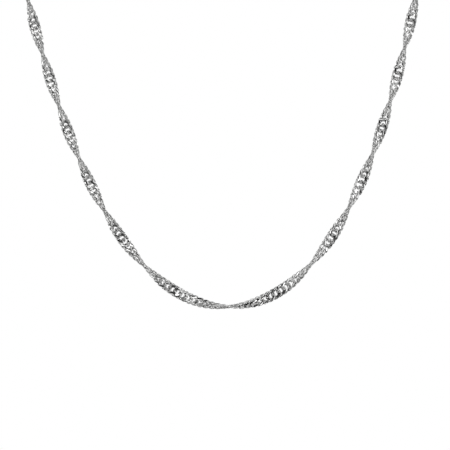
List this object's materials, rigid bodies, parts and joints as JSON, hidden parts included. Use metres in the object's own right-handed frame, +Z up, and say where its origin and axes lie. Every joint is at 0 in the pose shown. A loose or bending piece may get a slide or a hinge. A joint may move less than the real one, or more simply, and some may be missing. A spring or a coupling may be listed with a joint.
{
  "type": "singapore chain necklace",
  "caption": "Twisted flat silver chain necklace with a round spring ring clasp at the nape, hanging in its worn form.",
  "frame": {"origin": "the nape: the middle of the clasp and its two end rings, where the necklace lies on the back of the neck", "axes": "+Z up, -Y towards the front of the necklace, +X to the right as seen from the front"},
  "size_m": [0.101, 0.088, 0.1388],
  "materials": {
    "chain_silver": "polished, diamond cut",
    "clasp_silver": "polished"
  },
  "bodies": {
    "root": {"chain_left": "chain_silver", "chain_right": "chain_silver", "clasp": "clasp_silver", "end_ring_left": "clasp_silver", "end_ring_right": "clasp_silver"}
  },
  "joints": []
}
